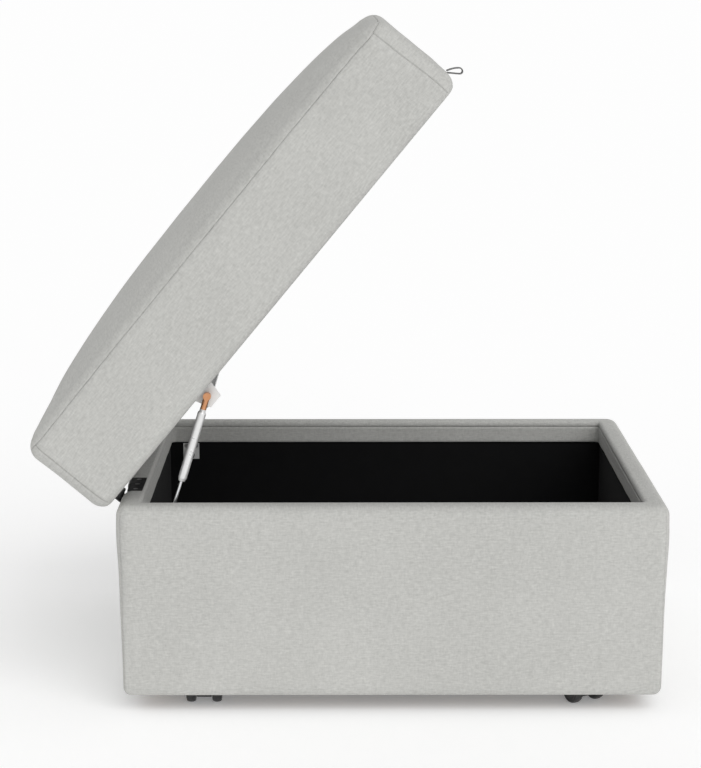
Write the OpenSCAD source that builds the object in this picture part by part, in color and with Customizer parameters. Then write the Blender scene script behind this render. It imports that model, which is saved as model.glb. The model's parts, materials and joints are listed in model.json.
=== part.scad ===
// Storage ottoman: an upholstered box on casters whose padded lid opens on
// two hinges and two gas struts. Front is -Y, up is +Z, X runs along the
// hinges, and the lid is drawn open. Every length is in millimetres.

/* [Body] */
// Length of the base from front to rear
base_len = 768; // [660:1:860]
// Width of the base along the hinges
base_w = 600; // [520:1:700]
// Height of the upholstered base, without the casters
base_h = 272; // [240:1:330]
// Gap between the floor and the lower edge of the base
floor_gap = 29; // [26:1:34]
// Thickness of the walls at the rim
wall_t = 33; // [31:1:44]
// Radius of the upright corners
corner_r = 20; // [16:1:30]

/* [Lid] */
// Length of the lid from front to rear
lid_len = 764; // [656:1:856]
// Height of the lid's side, up to its crown
lid_side_h = 138; // [110:1:160]
// Rise of the crowned top above the sides
lid_crown = 26; // [15:1:40]
// How far the lid reaches past the rear of the base when closed
lid_overhang = 3.5; // [2:0.5:5]
// Gap between the closed lid and the rim
lid_gap = 2; // [1.5:0.5:4]
// Angle that the lid is open at rest
lid_open = 50.5; // [0:0.5:60]

/* [Hinges] */
// Distance between the two hinges
hinge_span = 324; // [240:2:400]
// Length of each hinge
hinge_len = 76; // [60:1:90]
// Depth of the pivot below the rim
pivot_drop = 19.5; // [18:0.5:21]

/* [Struts] */
// Radius of the strut's tube
tube_r = 6; // [5:0.5:7]
// Length of the strut's tube
tube_len = 107; // [95:1:110]
// Radius of the strut's rod
rod_r = 2.5; // [2:0.5:3]

/* [Casters] */
// Radius of the wheels
wheel_r = 20; // [17:0.5:21]
// Width of one wheel
wheel_w = 15.2; // [12:0.1:16]
// How far the axle trails behind the kingpin
trail = 16; // [12:1:18]
// Height of a caster from the floor to the top of its plate
caster_h = 52; // [50:1:56]

/* [Hidden] */
$fn = 64;
fabric_t = 1.5;
foam_t = 7.5;
panel_t = 18;
liner_t = 3;
skin_in = fabric_t + foam_t;
panel_in = skin_in + panel_t;
rim_r = 15;
hem_r = 12;
band_h = 35;
bottom_t = 12;
rim_z = floor_gap + base_h;
panel_low = floor_gap + 7.5;
panel_top = rim_z - skin_in;
band_low = rim_z - band_h;
liner_low = caster_h + bottom_t;
floor_top = liner_low + liner_t;

// Lid, drawn closed and then turned open about the hinge pin
lid_r_low = 20;
seam_h = lid_side_h - 2;
board_t = 15;
board_in = 21;
hem_in = 45;
lid_z = rim_z + lid_gap;
pivot_in = 4.6;

// The origin is on the floor under the middle of the opened ottoman
seam_back = lid_overhang + pivot_in;
seam_up = lid_gap + lid_side_h + pivot_drop;
rear_reach = seam_back * cos(lid_open) + seam_up * sin(lid_open) - pivot_in;
rear_y = (base_len - rear_reach) / 2;
mid_y = rear_y - base_len / 2;
lid_mid_y = rear_y + lid_overhang - lid_len / 2;
pivot = [0, rear_y - pivot_in, rim_z - pivot_drop];

// Hinge
knuckle_r = 4.2;
pin_r = 2;
leaf_t = 1.5;
base_leaf_t = 1.8;
base_leaf_in = 28;
lid_leaf_in = 60;
knuckle_half = 12.7;
notch_half = hinge_len / 2 + 3.5;
notch_drop = 26;
run_fit = 0.05;
clear = 0.35;

// Struts: pivots as [in from the rear face, up from the rim], lid closed
strut_x = base_w / 2 - 44;
low_pivot = [64, -54];
top_pivot = [211, -7];
low_y = rear_y - low_pivot[0];
low_z = rim_z + low_pivot[1];
closed_y = rear_y - top_pivot[0];
closed_z = rim_z + top_pivot[1];
open_y = pivot.y + (closed_y - pivot.y) * cos(lid_open) + (closed_z - pivot.z) * sin(lid_open);
open_z = pivot.z - (closed_y - pivot.y) * sin(lid_open) + (closed_z - pivot.z) * cos(lid_open);
strut_len = norm([open_y - low_y, open_z - low_z]);
strut_lean = atan2(low_y - open_y, open_z - low_z);
top_end = 19;
tube_from = strut_len - top_end - tube_len;
stud_r = 3;
eye_r = 6;
eye_half = 4.5;
flange_x = strut_x - eye_half - 5;
flange_t = 2;

// Screws
screw_r = 1.8;
screw_len = 22;
head_r = 3.6;
hinge_screws = [-28, 0, 28];

// Casters: [side, distance from the rear face, direction of the trail]
CASTERS = [[-1, 116, 180], [-1, 652, 207], [1, 116, 172], [1, 652, 198]];
caster_in = 75;
plate_half = 20;
plate_t = 2.5;
kingpin_r = 3.5;
plate_screw = 15;
web_half = 10.2;
wheel_from = web_half + 0.6;
axle_r = 3;

// ---- Shared outlines ----

// Rectangle standing on the axis with its own lower and upper corner radii
module soft_rect(w, h, r_low, r_top) {
    translate([-w / 2, r_low]) square([w, h - r_low - r_top]);
    translate([r_low - w / 2, 0]) square([w - 2 * r_low, h / 2]);
    translate([r_top - w / 2, h / 2]) square([w - 2 * r_top, h / 2]);
    for (side = [-1, 1]) {
        translate([side * (w / 2 - r_low), r_low]) circle(r_low);
        translate([side * (w / 2 - r_top), h - r_top]) circle(r_top);
    }
}

// Upholstered block with rounded plan, lower and upper edges, shrunk by inset
module soft_block(len, w, h, r_low, r_top, inset) {
    l = len - 2 * inset;
    b = w - 2 * inset;
    t = h - 2 * inset;
    translate([0, 0, inset]) intersection() {
        linear_extrude(t) translate([0, -l / 2]) soft_rect(b, l, corner_r - inset, corner_r - inset);
        translate([b / 2, 0, 0]) rotate([90, 0, -90]) linear_extrude(b)
            soft_rect(l, t, r_low - inset, r_top - inset);
        translate([0, l / 2, 0]) rotate([90, 0, 0]) linear_extrude(l)
            soft_rect(b, t, r_low - inset, r_top - inset);
    }
}

// Upright box whose plan is the base's outline shrunk by inset
module base_box(inset, z_low, z_high) {
    translate([inset - base_w / 2, mid_y + inset - base_len / 2, z_low])
        cube([base_w - 2 * inset, base_len - 2 * inset, z_high - z_low]);
}

// Upright frame between two insets of the base's outline
module base_ring(outer, inner, z_low, z_high) {
    difference() {
        base_box(outer, z_low, z_high);
        base_box(inner, z_low - 1, z_high + 1);
    }
}

module base_block(inset) {
    translate([0, mid_y, floor_gap])
        soft_block(base_len, base_w, base_h, hem_r, rim_r, inset);
}

// Space at the rear rim where each hinge sits
module hinge_notches() {
    for (side = [-1, 1])
        translate([side * hinge_span / 2 - notch_half, rear_y - base_leaf_in - 0.5, rim_z - notch_drop])
            cube([2 * notch_half, base_leaf_in + 10, notch_drop + 10]);
}

// Turns what is drawn with the lid closed to the open rest position
module opened() {
    translate(pivot) rotate([-lid_open, 0, 0]) translate(-pivot) children();
}

module screw(len) {
    $fn = 24;
    translate([0, 0, -len]) cylinder(h = len, r = screw_r);
    translate([0, 0, -1.2]) cylinder(h = 1.2, r1 = screw_r, r2 = head_r);
}

// Hole for a screw, with the seat of its head
module screw_hole(len) {
    $fn = 24;
    translate([0, 0, -len]) cylinder(h = len + 5, r = screw_r + run_fit);
    translate([0, 0, -1.2]) cylinder(h = 1.2, r1 = screw_r + run_fit, r2 = head_r + run_fit);
    cylinder(h = 5, r = head_r + run_fit);
}

// ---- Where the screws go ----

module base_leaf_screw_places() {
    for (side = [-1, 1], along = hinge_screws)
        translate([side * hinge_span / 2 + along, rear_y - 18, rim_z]) children();
}

module lid_leaf_screw_places() {
    for (side = [-1, 1], along = hinge_screws)
        translate([side * hinge_span / 2 + along, rear_y - 44, lid_z]) rotate([180, 0, 0]) children();
}

module low_bracket_screw_places() {
    for (side = [-1, 1], back = [-1, 1])
        translate([side * (base_w / 2 - panel_in - liner_t - flange_t), low_y + back * 8, low_z + 13])
            rotate([0, -side * 90, 0]) children();
}

module lid_bracket_screw_places() {
    for (side = [-1, 1], back = [-1, 1])
        translate([side * (flange_x - 8.5), closed_y + back * 10, lid_z - flange_t])
            rotate([180, 0, 0]) children();
}

module plate_screw_places() {
    for (c = CASTERS, sx = [-1, 1], sy = [-1, 1])
        translate([c[0] * (base_w / 2 - caster_in) + sx * plate_screw,
            rear_y - c[1] + sy * plate_screw, caster_h - plate_t])
            rotate([180, 0, 0]) children();
}

// ---- Wooden box ----

module front_panel() {
    color("burlywood") translate([skin_in - base_w / 2, rear_y - base_len + skin_in, panel_low])
        cube([base_w - 2 * skin_in, panel_t, panel_top - panel_low]);
}

module rear_panel() {
    color("burlywood") difference() {
        translate([skin_in - base_w / 2, rear_y - panel_in, panel_low])
            cube([base_w - 2 * skin_in, panel_t, panel_top - panel_low]);
        base_leaf_screw_places() screw_hole(screw_len);
    }
}

module side_panel(side) {
    color("burlywood") difference() {
        translate([side * (base_w / 2 - skin_in) - (side + 1) / 2 * panel_t,
            rear_y - base_len + panel_in, panel_low])
            cube([panel_t, base_len - 2 * panel_in, panel_top - panel_low]);
        low_bracket_screw_places() screw_hole(18);
    }
}

module bottom_panel() {
    color("burlywood") difference() {
        base_box(panel_in, caster_h, caster_h + bottom_t);
        plate_screw_places() screw_hole(13);
    }
}

// Blocks glued into the angle between the walls and the bottom panel
module glue_blocks() {
    block = 15;
    long = 90;
    color("burlywood") for (turn = [-1, 1]) {
        translate([turn * (base_w / 2 - panel_in - block / 2), mid_y, caster_h - block / 2])
            cube([block, long, block], center = true);
        for (side = [-1, 1])
            translate([side * base_w / 8, mid_y + turn * (base_len / 2 - panel_in - block / 2),
                caster_h - block / 2]) cube([long, block, block], center = true);
    }
}

// ---- Padding and covers of the base ----

module side_foam() {
    color("khaki") difference() {
        intersection() {
            base_block(fabric_t);
            base_box(0, panel_low, panel_top);
        }
        base_box(skin_in, 0, rim_z);
        hinge_notches();
    }
}

// Foam over the top of the walls and down behind the inner band
module rim_foam() {
    color("khaki") difference() {
        union() {
            intersection() {
                base_block(fabric_t);
                base_ring(0, wall_t - fabric_t, panel_top, rim_z);
            }
            base_ring(panel_in, wall_t - fabric_t, band_low + fabric_t, panel_top);
        }
        hinge_notches();
    }
}

module base_cover() {
    color("gainsboro") difference() {
        base_block(0);
        base_block(fabric_t);
        base_box(wall_t - fabric_t, rim_z - 10, rim_z + 1);
        base_box(panel_in, floor_gap - 1, floor_gap + 10);
        hinge_notches();
    }
}

module inner_band() {
    color("gainsboro") {
        base_ring(wall_t - fabric_t, wall_t, band_low, rim_z);
        base_ring(panel_in, wall_t - fabric_t, band_low, band_low + fabric_t);
    }
}

module end_liner(front) {
    y = front ? rear_y - base_len + panel_in : rear_y - panel_in - liner_t;
    color([0.06, 0.06, 0.06]) translate([panel_in - base_w / 2, y, liner_low])
        cube([base_w - 2 * panel_in, liner_t, band_low - liner_low]);
}

module side_liner(side) {
    color([0.06, 0.06, 0.06]) difference() {
        translate([side * (base_w / 2 - panel_in) - (side + 1) / 2 * liner_t,
            rear_y - base_len + panel_in + liner_t, liner_low])
            cube([liner_t, base_len - 2 * (panel_in + liner_t), band_low - liner_low]);
        low_bracket_screw_places() screw_hole(18);
    }
}

module liner_floor() {
    color([0.06, 0.06, 0.06]) base_box(panel_in + liner_t + 0.3, liner_low, floor_top);
}

module bottom_dust_cover() {
    t = 0.8;
    color([0.1, 0.1, 0.1]) difference() {
        base_box(panel_in + 19, caster_h - t, caster_h);
        for (c = CASTERS)
            translate([c[0] * (base_w / 2 - caster_in), rear_y - c[1], caster_h])
                cube([2 * plate_half + 2, 2 * plate_half + 2, 4], center = true);
    }
}

// ---- Hinges ----

// Hardwood packers that lift the hinge leaves to the level of the rim
module hinge_packers() {
    color("peru") difference() {
        for (side = [-1, 1])
            translate([side * hinge_span / 2 - hinge_len / 2, rear_y - panel_in, panel_top])
                cube([hinge_len, panel_t, rim_z - base_leaf_t - panel_top]);
        base_leaf_screw_places() screw_hole(screw_len);
    }
}

// Barrel of a hinge from one place along the pin to another
module knuckle(from, to) {
    translate([from, pivot.y, pivot.z]) rotate([0, 90, 0]) cylinder(h = to - from, r = knuckle_r);
}

module pin_bore() {
    translate([-hinge_len, pivot.y, pivot.z]) rotate([0, 90, 0])
        cylinder(h = 2 * hinge_len, r = pin_r + run_fit);
}

// Leaf on the rim: flat on its packer, then down to two outer knuckles
module hinge_base_leaf(side) {
    back = pivot.y - knuckle_r;
    half = hinge_len / 2;
    color([0.12, 0.12, 0.12]) difference() {
        translate([side * hinge_span / 2, 0, 0]) difference() {
            union() {
                translate([-half, rear_y - base_leaf_in, rim_z - base_leaf_t])
                    cube([hinge_len, back + base_leaf_t - rear_y + base_leaf_in, base_leaf_t]);
                translate([-half, back, pivot.z])
                    cube([hinge_len, base_leaf_t, rim_z - pivot.z]);
                knuckle(-half, -knuckle_half);
                knuckle(knuckle_half, half);
            }
            translate([-knuckle_half, back - 1, pivot.z - 6])
                cube([2 * knuckle_half, 20, 6 + knuckle_r + 1]);
            pin_bore();
        }
        base_leaf_screw_places() screw_hole(screw_len);
    }
}

// Leaf under the lid: up from one middle knuckle, then flat under the board
module hinge_lid_leaf(side) {
    back = pivot.y + knuckle_r;
    half = hinge_len / 2;
    tongue = knuckle_half - clear;
    color([0.12, 0.12, 0.12]) opened() difference() {
        translate([side * hinge_span / 2, 0, 0]) difference() {
            union() {
                translate([-half, rear_y - lid_leaf_in, lid_z])
                    cube([hinge_len, back - rear_y + lid_leaf_in, leaf_t]);
                translate([-half, back - leaf_t, pivot.z + knuckle_r + 3])
                    cube([hinge_len, leaf_t, lid_z - pivot.z - knuckle_r - 3]);
                translate([-tongue, back - leaf_t, pivot.z])
                    cube([2 * tongue, leaf_t, knuckle_r + 4]);
                knuckle(-tongue, tongue);
            }
            pin_bore();
        }
        lid_leaf_screw_places() screw_hole(14);
    }
}

module hinge_pin(side) {
    color("silver") translate([side * hinge_span / 2 - hinge_len / 2 - 1, pivot.y, pivot.z])
        rotate([0, 90, 0]) cylinder(h = hinge_len + 2, r = pin_r);
}

// ---- Gas struts ----

// Moves to a strut's lower pivot with Z along the strut and X across it
module at_strut(side) {
    translate([side * strut_x, low_y, low_z]) rotate([strut_lean, 0, 0]) children();
}

module strut_low_bracket(side) {
    wall_x = base_w / 2 - panel_in - liner_t;
    color("dimgray") difference() {
        union() {
            translate([side * (wall_x - flange_t / 2), low_y, low_z + 4])
                cube([flange_t, 26, 26], center = true);
            translate([side * (strut_x + wall_x) / 2, low_y, low_z]) rotate([0, 90, 0])
                cylinder(h = wall_x - strut_x + 8, r = stud_r, center = true);
        }
        translate([side * (wall_x + 10), low_y, low_z]) cube([20, 40, 40], center = true);
        low_bracket_screw_places() screw_hole(18);
    }
}

module strut_low_eye(side) {
    color([0.15, 0.15, 0.15]) at_strut(side) difference() {
        union() {
            rotate([0, 90, 0]) cylinder(h = 2 * eye_half, r = eye_r, center = true);
            cylinder(h = 16, r = 4.4);
        }
        rotate([0, 90, 0]) cylinder(h = 20, r = stud_r + run_fit, center = true);
        translate([0, 0, 9]) cylinder(h = 10, r = rod_r);
    }
}

module strut_rod(side) {
    color("silver") at_strut(side) {
        translate([0, 0, 9]) cylinder(h = tube_from, r = rod_r);
        translate([0, 0, tube_from + 5]) cylinder(h = 8, r = tube_r - 1 - run_fit);
    }
}

module strut_tube(side) {
    color("gainsboro") at_strut(side) translate([0, 0, tube_from]) difference() {
        cylinder(h = tube_len, r = tube_r);
        translate([0, 0, 3]) cylinder(h = tube_len - 8, r = tube_r - 1);
        translate([0, 0, -1]) cylinder(h = 6, r = rod_r + run_fit);
    }
}

// Eye on the tube with its stud, which faces the flange under the lid
module strut_top_eye(side) {
    reach = strut_x - eye_half - flange_x - clear;
    color("peru") at_strut(side) translate([0, 0, strut_len]) {
        rotate([0, 90, 0]) cylinder(h = 2 * eye_half, r = eye_r - 0.5, center = true);
        translate([0, 0, -top_end]) cylinder(h = top_end, r = 4.4);
        translate([-side * (eye_half + reach) / 2, 0, 0]) rotate([0, 90, 0])
            cylinder(h = eye_half + reach, r = stud_r, center = true);
    }
}

module strut_lid_bracket(side) {
    low = closed_z - 15;
    color("silver") opened() difference() {
        union() {
            translate([side * (flange_x - 7.5) - 7.5, closed_y - 18, lid_z - flange_t])
                cube([15, 36, flange_t]);
            translate([side * (flange_x - flange_t / 2) - flange_t / 2, 0, 0]) rotate([90, 0, 90])
                linear_extrude(flange_t) polygon([[closed_y - 18, lid_z], [closed_y + 18, lid_z],
                    [closed_y + 11, low], [closed_y - 11, low]]);
        }
        lid_bracket_screw_places() screw_hole(14);
    }
}

// ---- Screws ----

module base_screws() {
    color("darkgray") {
        base_leaf_screw_places() screw(screw_len);
        low_bracket_screw_places() screw(16);
        plate_screw_places() screw(12);
    }
}

module lid_screws() {
    color("darkgray") opened() {
        lid_leaf_screw_places() screw(13);
        lid_bracket_screw_places() screw(13);
    }
}

// ---- Casters ----

// Moves to a caster's kingpin at floor level, with X along its trail
module at_caster(i) {
    translate([CASTERS[i][0] * (base_w / 2 - caster_in), rear_y - CASTERS[i][1], 0])
        rotate([0, 0, CASTERS[i][2]]) children();
}

module caster_plates() {
    color("dimgray") difference() {
        for (c = CASTERS) translate([c[0] * (base_w / 2 - caster_in), rear_y - c[1], 0]) {
            translate([0, 0, caster_h - plate_t / 2])
                cube([2 * plate_half, 2 * plate_half, plate_t], center = true);
            translate([0, 0, 32]) cylinder(h = caster_h - 33, r = kingpin_r);
        }
        plate_screw_places() screw_hole(12);
    }
}

// Swivel head, web between the wheels and hood over them
module fork(i) {
    head_top = caster_h - plate_t - 0.4;
    hood_r = wheel_r + 1;
    color([0.08, 0.08, 0.08]) at_caster(i) difference() {
        union() {
            translate([0, 0, 30]) cylinder(h = head_top - 30, r = 9.5);
            translate([0, 0, head_top - 4]) cylinder(h = 4, r = 14);
            translate([0, web_half, 0]) rotate([90, 0, 0]) linear_extrude(2 * web_half) {
                translate([trail, wheel_r]) circle(13);
                translate([0, wheel_r + 8]) square([trail, 13]);
                translate([trail, wheel_r]) square([9, 22], center = false);
            }
            translate([trail, 0, wheel_r]) intersection() {
                rotate([90, 0, 0]) difference() {
                    cylinder(h = 2 * (wheel_from + wheel_w), r = hood_r + 2, center = true);
                    cylinder(h = 80, r = hood_r, center = true);
                }
                translate([-30, -40, 6]) cube([60, 80, 30]);
            }
            translate([trail, 0, wheel_r]) intersection() {
                rotate([90, 0, 0]) cylinder(h = 2 * web_half, r = hood_r + 1, center = true);
                translate([-30, -40, 6]) cube([60, 80, 30]);
            }
        }
        translate([0, 0, 31]) cylinder(h = caster_h, r = kingpin_r + run_fit);
        translate([trail, 0, wheel_r]) rotate([90, 0, 0]) cylinder(h = 80, r = axle_r, center = true);
    }
}

module axle(i) {
    color("silver") at_caster(i) translate([trail, 0, wheel_r]) rotate([90, 0, 0])
        cylinder(h = 2 * (wheel_from + wheel_w - 4), r = axle_r, center = true);
}

// Wheel with a rounded tread, a dished outer face and a blind bore
module wheel(i, side) {
    edge = 3;
    color([0.1, 0.1, 0.1]) at_caster(i) translate([trail, 0, wheel_r]) rotate([-side * 90, 0, 0])
        translate([0, 0, wheel_from]) rotate_extrude($fn = 72) difference() {
            union() {
                square([wheel_r - edge, wheel_w]);
                translate([0, edge]) square([wheel_r, wheel_w - 2 * edge]);
                for (z = [edge, wheel_w - edge]) translate([wheel_r - edge, z]) circle(edge, $fn = 32);
            }
            translate([-30, -1]) square([30, 30]);
            translate([0, -1]) square([axle_r + run_fit, wheel_w - 2.5]);
            translate([8, wheel_w - 2]) square([7, 3]);
        }
}

// ---- Lid, drawn closed ----

// Crowned block of the lid, shrunk by inset on every side
module lid_block(inset) {
    l = lid_len / 2;
    b = base_w / 2;
    long_r = (l * l + lid_crown * lid_crown) / (2 * lid_crown);
    wide_r = (b * b + lid_crown * lid_crown) / (2 * lid_crown);
    top = lid_side_h + lid_crown;
    translate([0, lid_mid_y, lid_z]) intersection() {
        soft_block(lid_len, base_w, top + lid_r_low, lid_r_low, lid_r_low, inset);
        translate([0, 0, top - long_r]) rotate([0, 90, 0])
            cylinder(h = 2 * b, r = long_r - inset, center = true, $fn = 1440);
        translate([0, 0, top - wide_r]) rotate([90, 0, 0])
            cylinder(h = 2 * l, r = wide_r - inset, center = true, $fn = 1440);
    }
}

module lid_box(inset, z_low, z_high) {
    translate([inset - base_w / 2, lid_mid_y + inset - lid_len / 2, lid_z + z_low])
        cube([base_w - 2 * inset, lid_len - 2 * inset, z_high - z_low]);
}

// Space under the lid that its hinge leaves lie in
module lid_leaf_seats() {
    for (side = [-1, 1])
        translate([side * hinge_span / 2 - hinge_len / 2 - 1, rear_y - lid_leaf_in - 1, lid_z - 1])
            cube([hinge_len + 2, lid_leaf_in + 10, leaf_t + 1]);
}

module lid_board() {
    color("burlywood") opened() difference() {
        lid_box(board_in, fabric_t, fabric_t + board_t);
        lid_leaf_screw_places() screw_hole(14);
        lid_bracket_screw_places() screw_hole(14);
    }
}

// Foam block on the board, and a strip of foam along each edge of the board
module lid_foam() {
    top = fabric_t + board_t;
    glue = 0.05;
    color("khaki") opened() {
        difference() {
            lid_block(fabric_t);
            lid_box(-1, -1, top);
        }
        intersection() {
            lid_block(fabric_t);
            for (turn = [-1, 1]) translate([0, lid_mid_y, lid_z]) {
                translate([turn * (base_w - board_in) / 2, 0, top / 2 - glue])
                    cube([board_in, lid_len - 2 * (board_in + glue), top], center = true);
                translate([0, turn * (lid_len - board_in) / 2, top / 2 - glue])
                    cube([base_w, board_in, top], center = true);
            }
        }
    }
}

module lid_boxing() {
    color("gainsboro") opened() difference() {
        lid_block(0);
        lid_block(fabric_t);
        lid_box(-1, seam_h, lid_side_h + 2 * lid_crown);
        lid_box(hem_in, -1, fabric_t + 1);
        lid_leaf_seats();
    }
}

module lid_top_panel() {
    color("silver") opened() difference() {
        lid_block(0);
        lid_block(fabric_t);
        lid_box(-1, -1, seam_h);
    }
}

module lid_dust_cover() {
    color([0.12, 0.12, 0.12]) opened() difference() {
        lid_box(hem_in, 0, fabric_t);
        lid_leaf_seats();
        lid_bracket_screw_places() screw_hole(14);
    }
}

// Strap loop sewn in at the middle of the lid's lower front edge
module pull_loop() {
    strap = 2.5;
    gap = 7;
    reach = 36;
    half = gap / 2 + strap;
    front_y = lid_mid_y - lid_len / 2;
    droop = 31;
    color("dimgray") opened() difference() {
        translate([9, front_y + 6, lid_z + 7.5]) rotate([droop, 0, 0])
            rotate([90, 0, -90]) linear_extrude(18) difference() {
                union() {
                    translate([-2, -half]) square([reach - half + 2, 2 * half]);
                    translate([reach - half, 0]) circle(half);
                }
                translate([0, -gap / 2]) square([reach - half, gap]);
                translate([reach - half, 0]) circle(gap / 2);
            }
        lid_block(-0.05);
    }
}

front_panel();
rear_panel();
side_panel(-1);  // left_panel
side_panel(1);  // right_panel
bottom_panel();
glue_blocks();
side_foam();
rim_foam();
base_cover();
inner_band();
end_liner(true);  // front_liner
end_liner(false);  // rear_liner
side_liner(-1);  // left_liner
side_liner(1);  // right_liner
liner_floor();
bottom_dust_cover();
hinge_packers();
hinge_base_leaf(-1);  // left_hinge_base_leaf
hinge_base_leaf(1);  // right_hinge_base_leaf
hinge_pin(-1);  // left_hinge_pin
hinge_pin(1);  // right_hinge_pin
hinge_lid_leaf(-1);  // left_hinge_lid_leaf
hinge_lid_leaf(1);  // right_hinge_lid_leaf
strut_low_bracket(-1);  // left_strut_low_bracket
strut_low_bracket(1);  // right_strut_low_bracket
strut_low_eye(-1);  // left_strut_low_eye
strut_low_eye(1);  // right_strut_low_eye
strut_rod(-1);  // left_strut_rod
strut_rod(1);  // right_strut_rod
strut_tube(-1);  // left_strut_tube
strut_tube(1);  // right_strut_tube
strut_top_eye(-1);  // left_strut_top_eye
strut_top_eye(1);  // right_strut_top_eye
strut_lid_bracket(-1);  // left_strut_lid_bracket
strut_lid_bracket(1);  // right_strut_lid_bracket
base_screws();
lid_screws();
caster_plates();
fork(0);  // rear_left_fork
fork(1);  // front_left_fork
fork(2);  // rear_right_fork
fork(3);  // front_right_fork
axle(0);  // rear_left_axle
axle(1);  // front_left_axle
axle(2);  // rear_right_axle
axle(3);  // front_right_axle
wheel(0, -1);  // rear_left_wheel_a
wheel(0, 1);  // rear_left_wheel_b
wheel(1, -1);  // front_left_wheel_a
wheel(1, 1);  // front_left_wheel_b
wheel(2, -1);  // rear_right_wheel_a
wheel(2, 1);  // rear_right_wheel_b
wheel(3, -1);  // front_right_wheel_a
wheel(3, 1);  // front_right_wheel_b
lid_board();
lid_foam();
lid_boxing();
lid_top_panel();
lid_dust_cover();
pull_loop();
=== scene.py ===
import json
import math

import bmesh
import bpy
from mathutils import Matrix, Vector, noise


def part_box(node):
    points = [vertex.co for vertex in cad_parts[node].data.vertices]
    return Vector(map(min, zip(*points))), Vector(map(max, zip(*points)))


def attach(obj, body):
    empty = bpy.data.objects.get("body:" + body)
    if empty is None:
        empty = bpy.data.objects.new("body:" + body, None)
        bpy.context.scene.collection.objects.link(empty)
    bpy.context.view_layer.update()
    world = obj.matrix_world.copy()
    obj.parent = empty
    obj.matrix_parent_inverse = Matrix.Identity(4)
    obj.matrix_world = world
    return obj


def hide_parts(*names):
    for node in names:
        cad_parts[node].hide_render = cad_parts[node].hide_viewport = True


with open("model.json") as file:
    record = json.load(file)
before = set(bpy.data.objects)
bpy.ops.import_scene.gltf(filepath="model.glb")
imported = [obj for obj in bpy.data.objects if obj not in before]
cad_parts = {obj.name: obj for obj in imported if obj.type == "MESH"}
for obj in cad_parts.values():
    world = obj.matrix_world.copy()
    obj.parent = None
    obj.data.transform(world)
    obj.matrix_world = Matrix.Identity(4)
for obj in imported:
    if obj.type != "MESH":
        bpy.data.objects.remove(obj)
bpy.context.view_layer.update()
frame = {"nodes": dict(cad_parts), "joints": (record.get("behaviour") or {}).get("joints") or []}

# ---- Linen cloth ----
# The covers of the base and the lid are one light grey linen-look weave, spun
# from uneven yarn, so that short thick stretches show along both threads.
MM = 0.001
THREAD = 1.15 * MM


def node_maker(material):
    """Adds nodes to a material: make(kind, inputs, settings) returns the new node."""
    tree = material.node_tree

    def make(kind, inputs=(), **settings):
        made = tree.nodes.new("ShaderNode" + kind)
        for key, value in settings.items():
            setattr(made, key, value)
        for key, value in dict(inputs).items():
            if isinstance(value, bpy.types.NodeSocket):
                tree.links.new(value, made.inputs[key])
            else:
                made.inputs[key].default_value = value
        return made

    return make


def new_material(name, roughness=0.5, metallic=0.0, **constants):
    """A material, its shader and its node maker. The constants sit on the shader's sockets."""
    material = bpy.data.materials.new(name)
    material.use_nodes = True
    shader = material.node_tree.nodes["Principled BSDF"]
    shader.inputs["Roughness"].default_value = roughness
    shader.inputs["Metallic"].default_value = metallic
    for key, value in constants.items():
        shader.inputs[key.replace("_", " ")].default_value = value
    return material, shader, node_maker(material)


def math_node(make, operation, a, b=0.0):
    return make("Math", {0: a, 1: b}, operation=operation).outputs[0]


def stretched_noise(make, coordinates, scale, detail=2.0, roughness=0.5):
    """Noise with its own scale along each direction, from 0 to 1."""
    mapped = make("Mapping", {"Vector": coordinates, "Scale": scale})
    made = make("TexNoise", {"Vector": mapped.outputs[0], "Scale": 1.0, "Detail": detail,
                             "Roughness": roughness})
    return made.outputs["Fac"]


def connect(make, material, shader, colour, height=None, strength=0.3, distance=0.5 * MM, rough=None):
    """Links a colour, a bump height and a roughness to the shader."""
    link = material.node_tree.links.new
    link(colour, shader.inputs["Base Color"])
    if rough is not None:
        link(rough, shader.inputs["Roughness"])
    if height is not None:
        bump = make("Bump", {"Height": height, "Strength": strength, "Distance": distance})
        link(bump.outputs[0], shader.inputs["Normal"])


def two_tones(make, factor, dark, light):
    """Colour between two tones by a factor from 0 to 1."""
    mix = make("Mix", {"Factor": factor, "A": (*dark, 1), "B": (*light, 1)}, data_type="RGBA")
    return mix.outputs["Result"]


def weighted_sum(make, *terms):
    """Sum of sockets, each times its own weight."""
    total = None
    for socket, weight in terms:
        part = math_node(make, "MULTIPLY", socket, weight)
        total = part if total is None else math_node(make, "ADD", total, part)
    return total


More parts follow.
